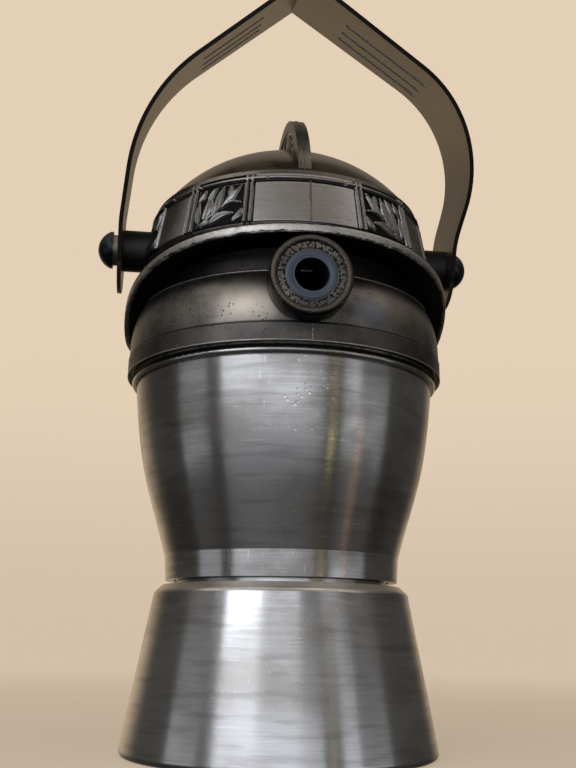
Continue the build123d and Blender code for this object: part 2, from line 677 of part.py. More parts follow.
def bail():
    """Pointed strap bail, wider at the top, slotted in both upper arms."""
    outline = offset(strap_path(), STRAP_THICKNESS / 2, kind=Kind.INTERSECTION, side=Side.BOTH)
    end = STRAP_END_HALF_WIDTH
    top = STRAP_TOP_HALF_WIDTH
    ribbon = extrude(make_face(outline), 2 * top, dir=(0, 1, 0), both=True)
    high = STRAP_APEX[1] + PAST
    round_z = end - STRAP_TAIL
    sides = [(0, -end, round_z), (0, -end, STRAP_TAPER_Z), (0, -top, high)]
    sides += [(0, y * -1, z) for x, y, z in reversed(sides)]
    plan = extrude(make_face(Polyline(*sides, close=True)), SIDEWAYS, dir=(1, 0, 0), both=True)
    plan += along_x(end, -SIDEWAYS, SIDEWAYS, round_z)
    body = ribbon & plan
    for slot in strap_slots(SLOT_RIGHT) + strap_slots(SLOT_LEFT):
        body -= slot
    body -= along_x(STRAP_HOLE_RADIUS, -SIDEWAYS, SIDEWAYS, 0)
    return Pos(0, 0, PIVOT_Z) * Rot(REST_TILT, 0, 0) * body


def main():
    os.makedirs("parts", exist_ok=True)
    parts = {
        "boiler": boiler(),
        "valve_body": valve_body(),
        "valve_washer": valve_washer(),
        "valve_cap": valve_cap(),
        "valve_pin": valve_pin(),
        "valve_spring": valve_spring(),
        "funnel": funnel(),
        "funnel_sieve": perforated(SIEVE_RADIUS, CUP_BOTTOM_Z + SHEET, SIEVE_HOLE_SPACING),
        "gasket": gasket(),
        "filter_plate": perforated(PLATE_RADIUS, PLATE_Z, PLATE_HOLE_SPACING),
        "barrel": barrel(),
        "riser_column": riser_column(),
        "column_cap": column_cap(),
        "collar": collar(),
        "spout_liner": spout_liner(),
        "cover": cover(),
        "crest": crest(),
        "crest_nuts": crest_nuts(),
        "pivot_nuts": pivot_nuts(),
        "bail": bail(),
    }
    for name, side in (("left", -1), ("right", 1)):
        parts[f"{name}_boss"] = boss(side)
        parts[f"{name}_washer"] = pivot_washer(side)
        parts[f"{name}_pivot_screw"] = pivot_screw(side)
    for name, shape in parts.items():
        export_step(shape, f"parts/{name}.step")


main()
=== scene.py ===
import math

import bpy
import numpy as np
from mathutils import Matrix, Vector


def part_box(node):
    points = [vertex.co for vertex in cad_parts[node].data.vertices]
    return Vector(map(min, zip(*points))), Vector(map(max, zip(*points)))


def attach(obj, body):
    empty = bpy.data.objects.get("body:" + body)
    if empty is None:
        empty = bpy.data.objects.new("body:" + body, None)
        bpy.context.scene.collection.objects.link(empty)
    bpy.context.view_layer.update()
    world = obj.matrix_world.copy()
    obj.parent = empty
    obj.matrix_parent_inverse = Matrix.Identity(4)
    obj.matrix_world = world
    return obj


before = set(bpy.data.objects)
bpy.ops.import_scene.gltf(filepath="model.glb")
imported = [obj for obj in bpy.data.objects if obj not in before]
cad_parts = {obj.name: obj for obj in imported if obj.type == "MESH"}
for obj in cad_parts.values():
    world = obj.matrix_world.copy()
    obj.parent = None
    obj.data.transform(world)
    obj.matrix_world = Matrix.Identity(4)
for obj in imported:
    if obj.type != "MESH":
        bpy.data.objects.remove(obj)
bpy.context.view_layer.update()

# Stovetop coffee pot: looks. Shapes are worked out in millimetres in the row frame and turned into
# metres where a mesh is made. +Z is up, the spout points to -Y, and angles round the pot are counted
# from the spout towards +X.
MM = 0.001

# ---------------------------------------------------------------- places, in millimetres


def corners(node):
    """Lowest and highest corner of a CAD node, in millimetres."""
    low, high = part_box(node)
    return np.array(low) / MM, np.array(high) / MM


collar_low, collar_high = corners("collar")
cover_high = corners("cover")[1]
crest_high = corners("crest")[1]
liner_low, liner_high = corners("spout_liner")
boss_low, boss_high = corners("right_boss")

PIVOT_Z = (boss_low[2] + boss_high[2]) / 2
BOSS_RADIUS = (boss_high[2] - boss_low[2]) / 2
DOME_RADIUS = 52.0
DOME_CENTRE_Z = cover_high[2] - DOME_RADIUS
BAND_LOW_Z = 149.0
BAND_HIGH_Z = 165.2
BAND_LOW_RADIUS = 46.4
BAND_HIGH_RADIUS = 43.3
RIDGE_LOW_Z = 163.3
BRIM_HALF_X = cover_high[0]
BRIM_HALF_Y = cover_high[1]
BRIM_THICKNESS = 2.4
CREST_RADIUS = 43.2
CREST_CENTRE_Z = crest_high[2] - CREST_RADIUS
CREST_FACE_X = 1.5
CREST_RIM_WIDTH = 3.4
SPOUT_Z = (liner_low[2] + liner_high[2]) / 2
SPOUT_END_Y = collar_low[1]
SPOUT_RADIUS = collar_high[2] - SPOUT_Z
RING_RADIUS = collar_high[0]
RING_LOW_Z = 112.3
RING_HIGH_Z = 117.4
SHOULDER_TOP_Z = 134.0
SHOULDER_TOP_RADIUS = 46.3
SEAM_ANGLE = math.radians(1.5)
COVER_PROUD = 0.52
CREST_SPREAD = 74
STRAP_LEAN = math.radians(19.8)
STRAP_LOW_HALF = 12.2
STRAP_TAPER_Z = 8.0
STRAP_TAPER = 0.081

# ---------------------------------------------------------------- shader sockets as expressions


class Value:
    """A number in a paint's node tree. Its operators add Math nodes."""

    def __init__(self, paint, socket):
        self.paint = paint
        self.socket = socket

    def __add__(self, other):
        return self.paint.math("ADD", self, other)

    def __sub__(self, other):
        return self.paint.math("SUBTRACT", self, other)

    def __rsub__(self, other):
        return self.paint.math("SUBTRACT", other, self)

    def __mul__(self, other):
        return self.paint.math("MULTIPLY", self, other)

    def __pow__(self, other):
        return self.paint.math("POWER", self, other)

    __radd__ = __add__
    __rmul__ = __mul__


class Paint:
    """One material's node tree. node() adds any node, and the other methods are short forms of it."""

    def __init__(self, name, tree=None):
        if tree is None:
            self.material = bpy.data.materials.new(name)
            self.material.use_nodes = True
            tree = self.material.node_tree
        self.tree = tree
        self.tree.nodes.clear()

    def node(self, kind, settings=None, inputs=None):
        """Adds a node, makes its settings, then fills or links its sockets by name or number."""
        node = self.tree.nodes.new(kind)
        for key, value in (settings or {}).items():
            setattr(node, key, value)
        for key, value in (inputs or {}).items():
            if isinstance(value, Value):
                value = value.socket
            if isinstance(value, bpy.types.NodeSocket):
                self.tree.links.new(value, node.inputs[key])
            else:
                node.inputs[key].default_value = value
        return node

    def math(self, operation, first, second=0.0):
        result = self.node("ShaderNodeMath", {"operation": operation}, {0: first, 1: second})
        return Value(self, result.outputs[0])

    def place(self):
        """Object position in millimetres."""
        where = self.node("ShaderNodeTexCoord").outputs["Object"]
        scaled = self.node("ShaderNodeVectorMath", {"operation": "SCALE"}, {0: where, "Scale": 1 / MM})
        return scaled.outputs["Vector"]

    def parts(self, vector):
        """X, Y and Z of a vector."""
        outputs = self.node("ShaderNodeSeparateXYZ", None, {0: vector}).outputs
        return tuple(Value(self, part) for part in outputs)

    def axes(self):
        """X, Y and Z of the object position in millimetres."""
        return self.parts(self.place())

    def from_axis(self):
        """Distance from the pot's axis in millimetres."""
        x, y, _ = self.axes()
        return (x * x + y * y) ** 0.5

    def attribute(self, name):
        return Value(self, self.node("ShaderNodeAttribute", {"attribute_name": name}).outputs["Fac"])

    def mapped(self, size, stretch=(1, 1, 1), shift=0.0, turn=(0, 0, 0)):
        """Object position in units of size millimetres, longer along an axis by stretch."""
        scale = tuple(1 / (size * part) for part in stretch)
        inputs = {"Vector": self.place(), "Scale": scale, "Location": (shift, shift, shift), "Rotation": turn}
        return self.node("ShaderNodeMapping", None, inputs).outputs["Vector"]

    def grain(self, size, detail=3.0, stretch=(1, 1, 1), shift=0.0, turn=(0, 0, 0), distortion=0.0):
        """Noise from 0 to 1 whose marks are about size millimetres, longer along an axis by stretch."""
        mapped = self.mapped(size, stretch, shift, turn)
        values = {"Vector": mapped, "Scale": 1.0, "Detail": detail, "Distortion": distortion}
        return Value(self, self.node("ShaderNodeTexNoise", None, values).outputs[0])

    def cells(self, size):
        """Distance inside cells of about size millimetres."""
        values = {"Vector": self.mapped(size), "Scale": 1.0}
        return Value(self, self.node("ShaderNodeTexVoronoi", None, values).outputs["Distance"])

    def rise(self, value, low, high):
        """0 below low, 1 above high, smooth between; low above high gives the falling form."""
        inputs = {"Value": value, "From Min": low, "From Max": high}
        settings = {"interpolation_type": "SMOOTHSTEP"}
        return Value(self, self.node("ShaderNodeMapRange", settings, inputs).outputs["Result"])

    def near(self, value, middle, half_width):
        """1 at middle, falling to 0 at half_width away."""
        return self.rise(self.math("ABSOLUTE", value - middle), half_width, 0.0)

    def mix(self, factor, first, second):
        """Colour between two colours."""
        colours = {6: self.colour(first), 7: self.colour(second), 0: factor}
        return self.node("ShaderNodeMix", {"data_type": "RGBA"}, colours).outputs[2]

    def colour(self, value):
        """A colour given as a tuple with its alpha; a socket or a value as it is."""
        return (*value, 1.0) if isinstance(value, tuple) else value

    def metal(self, colour, roughness, relief=None, depth=0.05, metallic=1.0, **uniform):
        """Principled surface; relief is a height from 0 to 1, and depth is its full height in millimetres."""
        inputs = {"Base Color": self.colour(colour), "Roughness": roughness, "Metallic": metallic, **uniform}
        if relief is not None:
            bump = {"Height": relief, "Distance": depth * MM, "Strength": 1.0}
            inputs["Normal"] = self.node("ShaderNodeBump", None, bump).outputs["Normal"]
        surface = self.node("ShaderNodeBsdfPrincipled", None, inputs).outputs["BSDF"]
        self.node("ShaderNodeOutputMaterial", None, {"Surface": surface})
        return self.material


# ---------------------------------------------------------------- surfaces


def grid_quads(rows, columns, around=False, along=False):
    """Four point numbers for each quad of a grid of rows by columns.

    around joins the last column to the first, and along the last row to the first.
    """
    index = np.arange(rows * columns).reshape(rows, columns)
    row = np.arange(rows if along else rows - 1)
    column = np.arange(columns if around else columns - 1)
    row, column = np.meshgrid(row, column, indexing="ij")
    next_row = (row + 1) % rows
    next_column = (column + 1) % columns
    ring = [index[row, column], index[row, next_column]]
    ring += [index[next_row, next_column], index[next_row, column]]
    return np.stack(ring, axis=-1).reshape(-1, 4)


def skin(name, points, body, material, around=False, along=False, height=None):
    """Quads over a grid of points in millimetres, rows by columns, made to face outwards.

    height is a number for each point, kept as the attribute that the material reads.
    """
    quads = grid_quads(*points.shape[:2], around, along)
    places = points.reshape(-1, 3) * MM
    a, b, c, d = (places[quads[:, i]] for i in range(4))
    volume = np.einsum("ij,ij->", a, np.cross(b, c) + np.cross(c, d))
    if volume < 0:
        quads = quads[:, ::-1]
    mesh = bpy.data.meshes.new(name)
    mesh.from_pydata(places.tolist(), [], quads.tolist())
    mesh.shade_smooth()
    if height is not None:
        kept = mesh.attributes.new("height", "FLOAT", "POINT")
        kept.data.foreach_set("value", height.ravel().astype(np.float32))
    mesh.materials.append(material)
    piece = bpy.data.objects.new(name, mesh)
    bpy.context.scene.collection.objects.link(piece)
    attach(piece, body)
    return piece


def smooth_noise(u, v, seed, octaves=3):
    """Sum of sines of random direction and phase over two coordinates, about -1 to 1; same every run."""
    chance = np.random.default_rng(seed)
    total = np.zeros(np.broadcast(u, v).shape)
    for octave in range(octaves):
        for _ in range(5):
            direction = chance.uniform(0, 2 * math.pi)
            phase = chance.uniform(0, 2 * math.pi)
            pace = 2.0**octave * chance.uniform(0.7, 1.3)
            total += np.sin(pace * (u * math.cos(direction) + v * math.sin(direction)) + phase) / 2**octave
    return total / 5


def speckle(shape, seed):
    """Independent random heights from -1 to 1 on a grid."""
    return np.random.default_rng(seed).uniform(-1, 1, shape)


def hump(distance, width):
    """Rounded ridge: 1 in the middle, 0 at width away."""
    return np.clip(1 - (distance / width) ** 2, 0, None)


def raised(height, rib, full):
    """Height with a rib laid over it, full at the rib's middle; the ground beside the rib stays as it is."""
    return np.where(rib > 0, np.maximum(height, full * rib), height)


def leaf(s, t, leaf_line):
    """Pointed leaf on a plane: a lens from base to tip, arched across, grooved along its middle.

    leaf_line is base s, base t, tip s, tip t, half width and bow, all in millimetres.
    """
    base_s, base_t, tip_s, tip_t, width, bow = leaf_line
    length = math.hypot(tip_s - base_s, tip_t - base_t)
    along_s, along_t = (tip_s - base_s) / length, (tip_t - base_t) / length
    u = ((s - base_s) * along_s + (t - base_t) * along_t) / length
    inside = np.clip(u, 0, 1)
    side = (t - base_t) * along_s - (s - base_s) * along_t - bow * 4 * inside * (1 - inside)
    half = width * np.sin(math.pi * inside**0.75) + 1e-6
    arch = np.sqrt(np.clip(1 - (side / half) ** 2, 0, None))
    groove = 0.45 * np.exp(-((side / (0.22 * width + 0.05)) ** 2))
    shape = arch * (1 - groove * (width > 0.5)) * np.minimum(1, 6 * np.sin(math.pi * inside))
    return np.where((u > 0) & (u < 1), shape, 0)


# Frieze, counted in degrees from the front and mirrored to the back: where its leaf panels start, how wide
# they are, and where its upright bars stand
PANEL_STARTS = (23.0, 67.5)
PANEL_WIDTH = 21.0
BARS = (20.6, 22.6, 44.9, 47.1, 66.6)

# Leaves of one frieze panel, in millimetres from its rear lower corner towards the spout and up
PANEL_LEAVES = [
    (0.8, 0.3, 9.4, 7.0, 0.5, -0.9),
    (9.0, 6.2, 15.4, 13.6, 0.5, -0.6),
    (10.6, 6.2, 15.2, 12.2, 1.45, 0.6),
    (8.0, 4.8, 9.6, 13.6, 1.5, 0.5),
    (3.6, 2.2, 5.2, 11.4, 1.75, -0.5),
    (1.6, 1.6, 1.4, 9.6, 1.1, 0.3),
    (9.0, 5.0, 15.8, 6.8, 0.5, 1.5),
    (5.6, 0.6, 13.6, 3.6, 1.6, 1.2),
    (0.6, 9.0, 3.4, 13.8, 1.0, -0.5),
    (5.0, 8.4, 7.6, 13.8, 1.15, 0.6),
    (13.0, 0.5, 16.0, 5.4, 1.1, -0.6),
    (6.2, 4.0, 7.2, 9.4, 0.9, -0.3),
    (11.4, 9.6, 11.8, 13.8, 0.9, -0.3),
    (2.6, 0.4, 7.0, 1.6, 0.7, 0.3),
]


# Leaves of one tuft on the crest, in millimetres from the tuft's foot; t is for a crest 12 mm high
CREST_LEAVES = [
    (-3.0, 0.6, 2.6, 10.6, 1.3, 0.8),
    (-0.6, 0.8, 3.4, 5.4, 0.9, -0.4),
    (-3.4, 3.4, -2.4, 10.2, 0.8, 0.4),
]


def leafwork(s, t):
    """Highest of a panel's leaves at each point."""
    return np.max([leaf(s, t, line) for line in PANEL_LEAVES], axis=0)


def frieze_height(angle, up):
    """Height of the frieze over its ground, in millimetres, from the angle round the pot and the way up.

    One quarter is worked out and mirrored to both sides and to the back: plain front panel, two
    bars, leaf panel, two bars, plain panel, leaf panel up to the pivot boss, and a ridge along the top.
    """
    degrees = np.abs(np.degrees(angle))
    quarter = np.minimum(degrees, 180 - degrees)
    pace = math.radians((BAND_LOW_RADIUS + BAND_HIGH_RADIUS) / 2)
    height = np.zeros(np.broadcast(angle, up).shape)
    wander = 0.12 * smooth_noise(angle * 20, up * 0.5, 3)
    for start in PANEL_STARTS:
        rear = start + PANEL_WIDTH
        s = (rear - quarter) * pace + wander
        panel = leafwork(s, up - 0.2 + wander)
        inside = (quarter > start) & (quarter < rear)
        height = np.where(inside, 1.05 * panel - 0.32, height)
    for bar in BARS:
        distance = (quarter - bar) * pace + 0.06 * smooth_noise(up * 0.9, angle * 3, 5)
        height = raised(height, hump(distance, 0.62), 0.62)
        height = height - 0.3 * hump(np.abs(distance) - 0.8, 0.28)
    ridge = np.abs(up - (RIDGE_LOW_Z + 0.7 - BAND_LOW_Z) + 0.08 * smooth_noise(angle * 30, up * 0, 7))
    nick = 1 - 0.6 * (smooth_noise(angle * 60, up * 0, 11) > 0.55)
    height = raised(height, hump(ridge, 0.75), 0.7 * nick)
    height = height - 0.25 * hump(up - (RIDGE_LOW_Z - 0.4 - BAND_LOW_Z), 0.4)
    boss_distance = np.hypot((degrees - 90) * pace, up + BAND_LOW_Z - PIVOT_Z)
    flat = np.clip((boss_distance - BOSS_RADIUS - 0.3) / 0.9, 0, 1)
    return height * flat


def frieze():
    """Cast band on the cover: ring of grid points, each pushed out from the cone by the frieze's height."""
    angle = np.linspace(-math.pi, math.pi, 1520, endpoint=False)[None, :]
    up = np.linspace(0.05, BAND_HIGH_Z - BAND_LOW_Z + 0.25, 58)[:, None]
    height = frieze_height(angle, up)
    height = height + 0.012 * smooth_noise(angle * 70, up * 2, 13)
    share = up / (BAND_HIGH_Z - BAND_LOW_Z)
    cone = BAND_LOW_RADIUS + (BAND_HIGH_RADIUS - BAND_LOW_RADIUS) * share
    radius = cone + COVER_PROUD + height
    rows = [cone[:1] - 0.6 + 0 * angle, radius, cone[-1:] - 0.6 + 0 * angle]
    radius = np.concatenate(rows, axis=0)
    level = np.concatenate([up[:1], up, up[-1:]], axis=0) + BAND_LOW_Z + 0 * angle
    turn = angle + 0 * radius
    points = np.stack([radius * np.sin(turn), -radius * np.cos(turn), level], axis=-1)
    kept = np.concatenate([height[:1], height, height[-1:]], axis=0)
    return skin("frieze", points, "cover", frieze_paint(), around=True, along=True, height=kept)


def crest_relief(name, side):
    """Leafwork on one face of the crest: a slab between the dome and the crest's rim.

    The grid runs by the angle about the crest's centre and by the share of the way from dome to rim.
    """
    lean = np.radians(np.linspace(-CREST_SPREAD, CREST_SPREAD, 420))[:, None]
    share = np.linspace(0, 1, 60)[None, :]
    outer = CREST_RADIUS - CREST_RIM_WIDTH + 0.2
    drop = CREST_CENTRE_Z - DOME_CENTRE_Z
    inner = -drop * np.cos(lean) + np.sqrt(DOME_RADIUS**2 - (drop * np.sin(lean)) ** 2) - 0.2
    reach = inner + (outer - inner) * share
    y = -reach * np.sin(lean)
    z = CREST_CENTRE_Z + reach * np.cos(lean)
    s = np.degrees(lean) * 0.62
    t = reach - inner
    width = outer - inner
    height = np.zeros(reach.shape)
    for step in range(-5, 6):
        middle = step * 7.6
        flip = 1 if step % 2 else -1
        local = (s - middle) * flip
        room = np.maximum(width, 1.0) / 12.0
        for line in CREST_LEAVES:
            height = np.maximum(height, leaf(local, t / room, line))
    height = height * np.clip(width / 4.0, 0, 1)
    x = CREST_FACE_X + 0.06 + 0.52 * height + 0.03 * smooth_noise(y * 2, z * 2, 17)
    edge = np.minimum(np.minimum(share, 1 - share) * 40, (math.radians(CREST_SPREAD) - np.abs(lean)) * 60)
    x = np.where(edge <= 0.001, CREST_FACE_X - 0.3, x)
    points = np.stack([side * x, y, z], axis=-1)
    back = points.copy()
    back[..., 0] = side * (CREST_FACE_X - 0.3)
    loop = np.concatenate([points, back[:, ::-1]], axis=1)
    kept = np.concatenate([height, 0 * height], axis=1)
    return skin(name, loop, "cover", frieze_paint(), around=True, height=kept)


def carried(name, path, across, up, section, body, material, closed=False):
    """A section carried along a path. across and up are unit vectors at each path point.

    section holds, for each path point, the outline's distances along across and along up.
    An open path's ends are closed by drawing the last outlines in to a point.
    """
    points = path[:, None] + section[..., :1] * across[:, None] + section[..., 1:] * up[:, None]
    if not closed:
        points = np.concatenate([path[:1, None] + 0 * points[:1], points, path[-1:, None] + 0 * points[-1:]])
    return skin(name, points, body, material, around=True, along=closed)


def outline(count, half_width, half_height):
    """Ellipse as a closed outline of count points."""
    turn = np.linspace(0, 2 * math.pi, count, endpoint=False)
    return np.stack([half_width * np.cos(turn), half_height * np.sin(turn)], axis=-1)


def brim_low_edge(angles):
    """Height of the brim's lower edge at each angle, read from the cover's own mesh.

    Points on the brim's ellipse come in pairs, one above the other; the lower ones are kept.
    """
    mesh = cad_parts["cover"].data
    places = np.empty(len(mesh.vertices) * 3)
    mesh.vertices.foreach_get("co", places)
    x, y, z = places.reshape(-1, 3).T / MM
    on_edge = np.abs(np.hypot(x / BRIM_HALF_X, y / BRIM_HALF_Y) - 1) < 4e-4
    x, y, z = x[on_edge], y[on_edge], z[on_edge]
    turn = np.arctan2(x, -y)
    close = np.abs(np.angle(np.exp(1j * (turn[:, None] - turn[None, :])))) < math.radians(4)
    lower = np.where(close, z[None, :], 999).min(axis=1) > z - BRIM_THICKNESS / 2
    turn, z = turn[lower], z[lower]
    order = np.argsort(turn)
    return np.interp(angles, turn[order], z[order], period=2 * math.pi)


def brim_flash():
    """Rough cast edge of the brim: a strip round the ellipse with a ragged lower side."""
    turn = np.linspace(-math.pi, math.pi, 1400, endpoint=False)
    stretch = 1 / np.hypot(np.sin(turn) / BRIM_HALF_X, np.cos(turn) / BRIM_HALF_Y)
    path = np.stack([stretch * np.sin(turn), -stretch * np.cos(turn), brim_low_edge(turn)], axis=-1)
    path[:, 2] += BRIM_THICKNESS / 2
    out = np.stack([path[:, 0] / BRIM_HALF_X**2, path[:, 1] / BRIM_HALF_Y**2, 0 * turn], axis=-1)
    out /= np.linalg.norm(out, axis=1, keepdims=True)
    up = np.tile([0.0, 0.0, 1.0], (len(turn), 1))
    base = np.array(
        [(-1.6, 1.28), (-0.5, 1.3), (-0.1, 1.12), (0.04, 0.8), (0.06, 0.3), (0.06, -0.3), (0.02, -0.8),
         (-0.04, -1.2), (-0.22, -1.45), (-0.6, -1.3), (-1.6, -1.22)]
    )
    section = np.repeat(base[None], len(turn), axis=0)
    ragged = smooth_noise(turn * 42, 0 * turn, 19, 4)
    torn = np.clip(smooth_noise(turn * 85, 0 * turn, 23, 3), 0, 1)
    section[:, 7:10, 1] -= (0.16 * ragged + 0.34 * torn)[:, None]
    section[:, 8, 0] += 0.12 * ragged
    pits = smooth_noise(turn[:, None] * 120, base[None, :, 1] * 5, 29, 4)
    section[:, 3:7, 0] += 0.05 * pits[:, 3:7]
    return carried("brim_edge", path, out, up, section, "cover", edge_paint(), closed=True)


def spout_face():
    """Rough cast end of the spout: rounded rim, stippled face and a worn lip round the liner.

    A profile turned about the spout's axis, with random strokes on its face.
    """
    turn = np.linspace(0, 2 * math.pi, 420, endpoint=False)[None, :]
    radius = np.array(
        [7.27, 7.3, 7.5, 7.75, 8.0, 8.25, 8.5, 8.75, 9.0, 9.25, 9.5, 9.7, 9.9, 10.1, 10.35, 10.6, 10.85,
         11.1, 11.35, 11.55, 11.68, 11.72, 11.7, 11.7]
    )[:, None]
    proud = np.array(
        [-0.6, -0.1, 0.05, 0.04, 0.0, -0.02, -0.03, -0.03, -0.03, -0.02, 0.02, 0.12, 0.3, 0.46, 0.55, 0.58,
         0.55, 0.46, 0.3, 0.08, -0.3, -1.2, -3.5, -7.0]
    )[:, None]
    face = ((radius > 7.4) & (radius < 11.5)).astype(float)
    rough = 0.10 * smooth_noise(turn * 30, radius * 4.0, 31, 4) + 0.07 * speckle((24, 420), 37)
    strokes = 0.10 * smooth_noise(turn * 70 + radius * 4, radius * 1.2, 41, 3)
    lift = proud + face * (rough + strokes) * np.where(radius > 9.7, 0.45, 1.0)
    wobble = 0.06 * smooth_noise(turn * 9, radius, 43)
    wide = radius + np.where(radius > 11.4, wobble, 0)
    points = np.stack([wide * np.sin(turn), SPOUT_END_Y - lift, SPOUT_Z + wide * np.cos(turn)], axis=-1)
    inside = points[-1:].copy()
    inner = points[:1].copy()
    inside[..., 0] *= 0.96
    inside[..., 2] = SPOUT_Z + (inside[..., 2] - SPOUT_Z) * 0.96
    inner[..., 1] = inside[..., 1]
    loop = np.concatenate([points, inside, inner], axis=0)
    kept = np.concatenate([lift, lift[-1:], lift[:1]], axis=0)
    paint = spout_paint()
    return skin("spout_face", loop, "upper", paint, around=True, along=True, height=kept)


def liner_lip():
    """Rounded mouth of the liner: a profile turned about the spout's axis."""
    turn = np.linspace(0, 2 * math.pi, 160, endpoint=False)[None, :]
    profile = np.array(
        [(7.2, -0.5), (7.2, 0.02), (7.1, 0.1), (6.6, 0.13), (6.0, 0.12), (5.5, 0.06), (5.15, -0.1),
         (4.95, -0.35), (4.86, -0.8), (4.86, -1.6), (5.0, -1.6)]
    )
    radius, proud = profile[:, :1], profile[:, 1:]
    points = np.stack(
        [radius * np.sin(turn), SPOUT_END_Y - proud + 0 * turn, SPOUT_Z + radius * np.cos(turn)], axis=-1
    )
    return skin("liner_lip", points, "upper", liner_paint(), around=True, along=True)


def hoop(name, radius, z, half_width, half_height, material, seed, ragged=0.1):
    """Thin uneven bead on the collar: an ellipse carried round the pot's axis, its size wandering."""
    turn = np.linspace(-math.pi, math.pi, 900, endpoint=False)
    path = np.stack([radius * np.sin(turn), -radius * np.cos(turn), z + 0 * turn], axis=-1)
    out = np.stack([np.sin(turn), -np.cos(turn), 0 * turn], axis=-1)
    up = np.tile([0.0, 0.0, 1.0], (len(turn), 1))
    thick = 1 + ragged * smooth_noise(turn * 25, 0 * turn, seed, 4)
    section = outline(8, half_width, half_height)[None] * thick[:, None, None]
    return carried(name, path, out, up, section, "upper", material, closed=True)


def seam(name, path, out, body, seed, width=0.35):
    """Mould line: an uneven bead along a path, half sunk in the surface that it runs over."""
    along = np.gradient(path, axis=0)
    along /= np.linalg.norm(along, axis=1, keepdims=True)
    side = np.cross(along, out)
    count = len(path)
    step = np.linspace(0, 1, count) * count
    thick = 1 + 0.45 * smooth_noise(step * 0.6, 0 * step, seed, 3)
    shifted = path + side * (0.18 * smooth_noise(step * 0.35, 0 * step, seed + 1, 2))[:, None]
    section = outline(8, width, 0.26)[None] * np.clip(thick, 0.35, None)[:, None, None]
    return carried(name, shifted, side, out, section, body, cast_paint("mould line"))


def seams():
    """Mould lines up the front: ring, over the spout, band, and crest."""
    ahead = np.array([math.sin(SEAM_ANGLE), -math.cos(SEAM_ANGLE), 0.0])

    def upright(radii, heights):
        radii, heights = np.asarray(radii), np.asarray(heights)
        return radii[:, None] * ahead + heights[:, None] * np.array([0.0, 0.0, 1.0])

    rise = np.linspace(0, 1, 40)
    ring_path = upright(RING_RADIUS - 0.05 + 0 * rise, RING_LOW_Z + 0.3 + 4.6 * rise)
    seam("ring_seam", ring_path, np.tile(ahead, (40, 1)), "upper", 51)
    band_z = BAND_LOW_Z + 0.4 + 14.0 * rise
    share = (band_z - BAND_LOW_Z) / (BAND_HIGH_Z - BAND_LOW_Z)
    band_r = BAND_LOW_RADIUS + COVER_PROUD + (BAND_HIGH_RADIUS - BAND_LOW_RADIUS) * share
    seam("band_seam", upright(band_r, band_z), np.tile(ahead, (40, 1)), "cover", 57, 0.3)
    lean = np.radians(np.linspace(78, 8, 120))
    out = np.stack([0 * lean, -np.sin(lean), np.cos(lean)], axis=-1)
    crest_path = out * (CREST_RADIUS - 0.02) + np.array([0.0, 0.0, CREST_CENTRE_Z])
    seam("crest_seam", crest_path, out, "cover", 61, 0.22)
    back = SPOUT_END_Y + 0.3 + 10.5 * rise
    top = np.stack([0.5 + 0 * rise, back, SPOUT_Z + SPOUT_RADIUS + 0 * rise], axis=-1)
    seam("spout_seam", top, np.tile([0.0, 0.0, 1.0], (40, 1)), "upper", 67, 0.5)


# ---------------------------------------------------------------- metals


def brushed(name, light, dark, haze, seed, chips=False):
    """Metal brushed round the pot's axis, tarnished in streaks and patches, with scratches."""
    paint = Paint(name)
    x, y, z = paint.axes()
    lines = paint.grain(0.16, 2.0, (120, 120, 1), seed)
    bands = paint.grain(1.1, 3.0, (36, 36, 1), seed + 5)
    patches = paint.grain(22.0, 4.0, (1.4, 1.4, 1), seed + 9)
    scratch = paint.rise(paint.grain(1.3, 2.0, (9, 9, 0.5), seed + 13, (0.5, 0.7, 0.3), 0.6), 0.685, 0.72)
    slant = paint.rise(paint.grain(1.0, 1.0, (0.5, 0.5, 12), seed + 17, (0.6, -0.5, 0.2), 0.4), 0.70, 0.735)
    marks = paint.math("MAXIMUM", scratch, slant)
    stain = paint.rise(patches * 0.85 + bands * 0.15, 0.40, 0.60)
    tone = paint.mix(stain, dark, light)
    tone = paint.mix(paint.rise(lines, 0.45, 0.8) * 0.30, tone, haze)
    tone = paint.mix(marks * 0.35, tone, (0.86, 0.86, 0.88))
    roughness = 0.20 + 0.07 * (1.0 - stain) + 0.04 * lines
    blots = paint.rise(paint.grain(5.0, 8.0, (4.0, 4.0, 0.5), seed + 23), 0.48, 0.72)
    tone = paint.mix(blots * 0.30, tone, (0.14, 0.132, 0.12))
    relief = lines * 0.35 + bands * 0.05 + marks * 0.5
    if chips:
        spot_x, spot_z = x + 2.0, z - 99.0
        zone = paint.rise((spot_x * spot_x + spot_z * spot_z) ** 0.5, 15.0, 3.0) * paint.rise(y, 0.0, -10.0)
        chip = paint.rise(paint.cells(1.7), 0.30, 0.20) * paint.rise(paint.grain(3.0, 2.0), 0.50, 0.56) * zone
        tone = paint.mix(chip, tone, (0.8, 0.8, 0.82))
        relief = relief - chip * 9.0
    return paint.metal(tone, roughness, relief, 0.006, **{"Anisotropic": 0.7, "Anisotropic Rotation": 0.25})


def cast_tone(paint, seed):
    """Colour, roughness and relief of darkened sand-cast metal."""
    fine = paint.grain(0.35, 4.0, shift=seed)
    coarse = paint.grain(5.0, 5.0, shift=seed + 3)
    stain = paint.grain(17.0, 3.0, shift=seed + 7)
    pits = paint.rise(paint.cells(1.1), 0.32, 0.12) * paint.rise(coarse, 0.5, 0.62)
    tone = paint.mix(paint.rise(stain, 0.35, 0.7), (0.07, 0.067, 0.063), (0.29, 0.272, 0.245))
    tone = paint.mix(paint.rise(fine, 0.45, 0.8) * 0.5, tone, (0.40, 0.385, 0.36))
    tone = paint.mix(pits * 0.6, tone, (0.02, 0.019, 0.018))
    return tone, 0.25 + 0.13 * fine + 0.07 * stain, fine * 0.7 + coarse * 0.8 - pits * 1.5


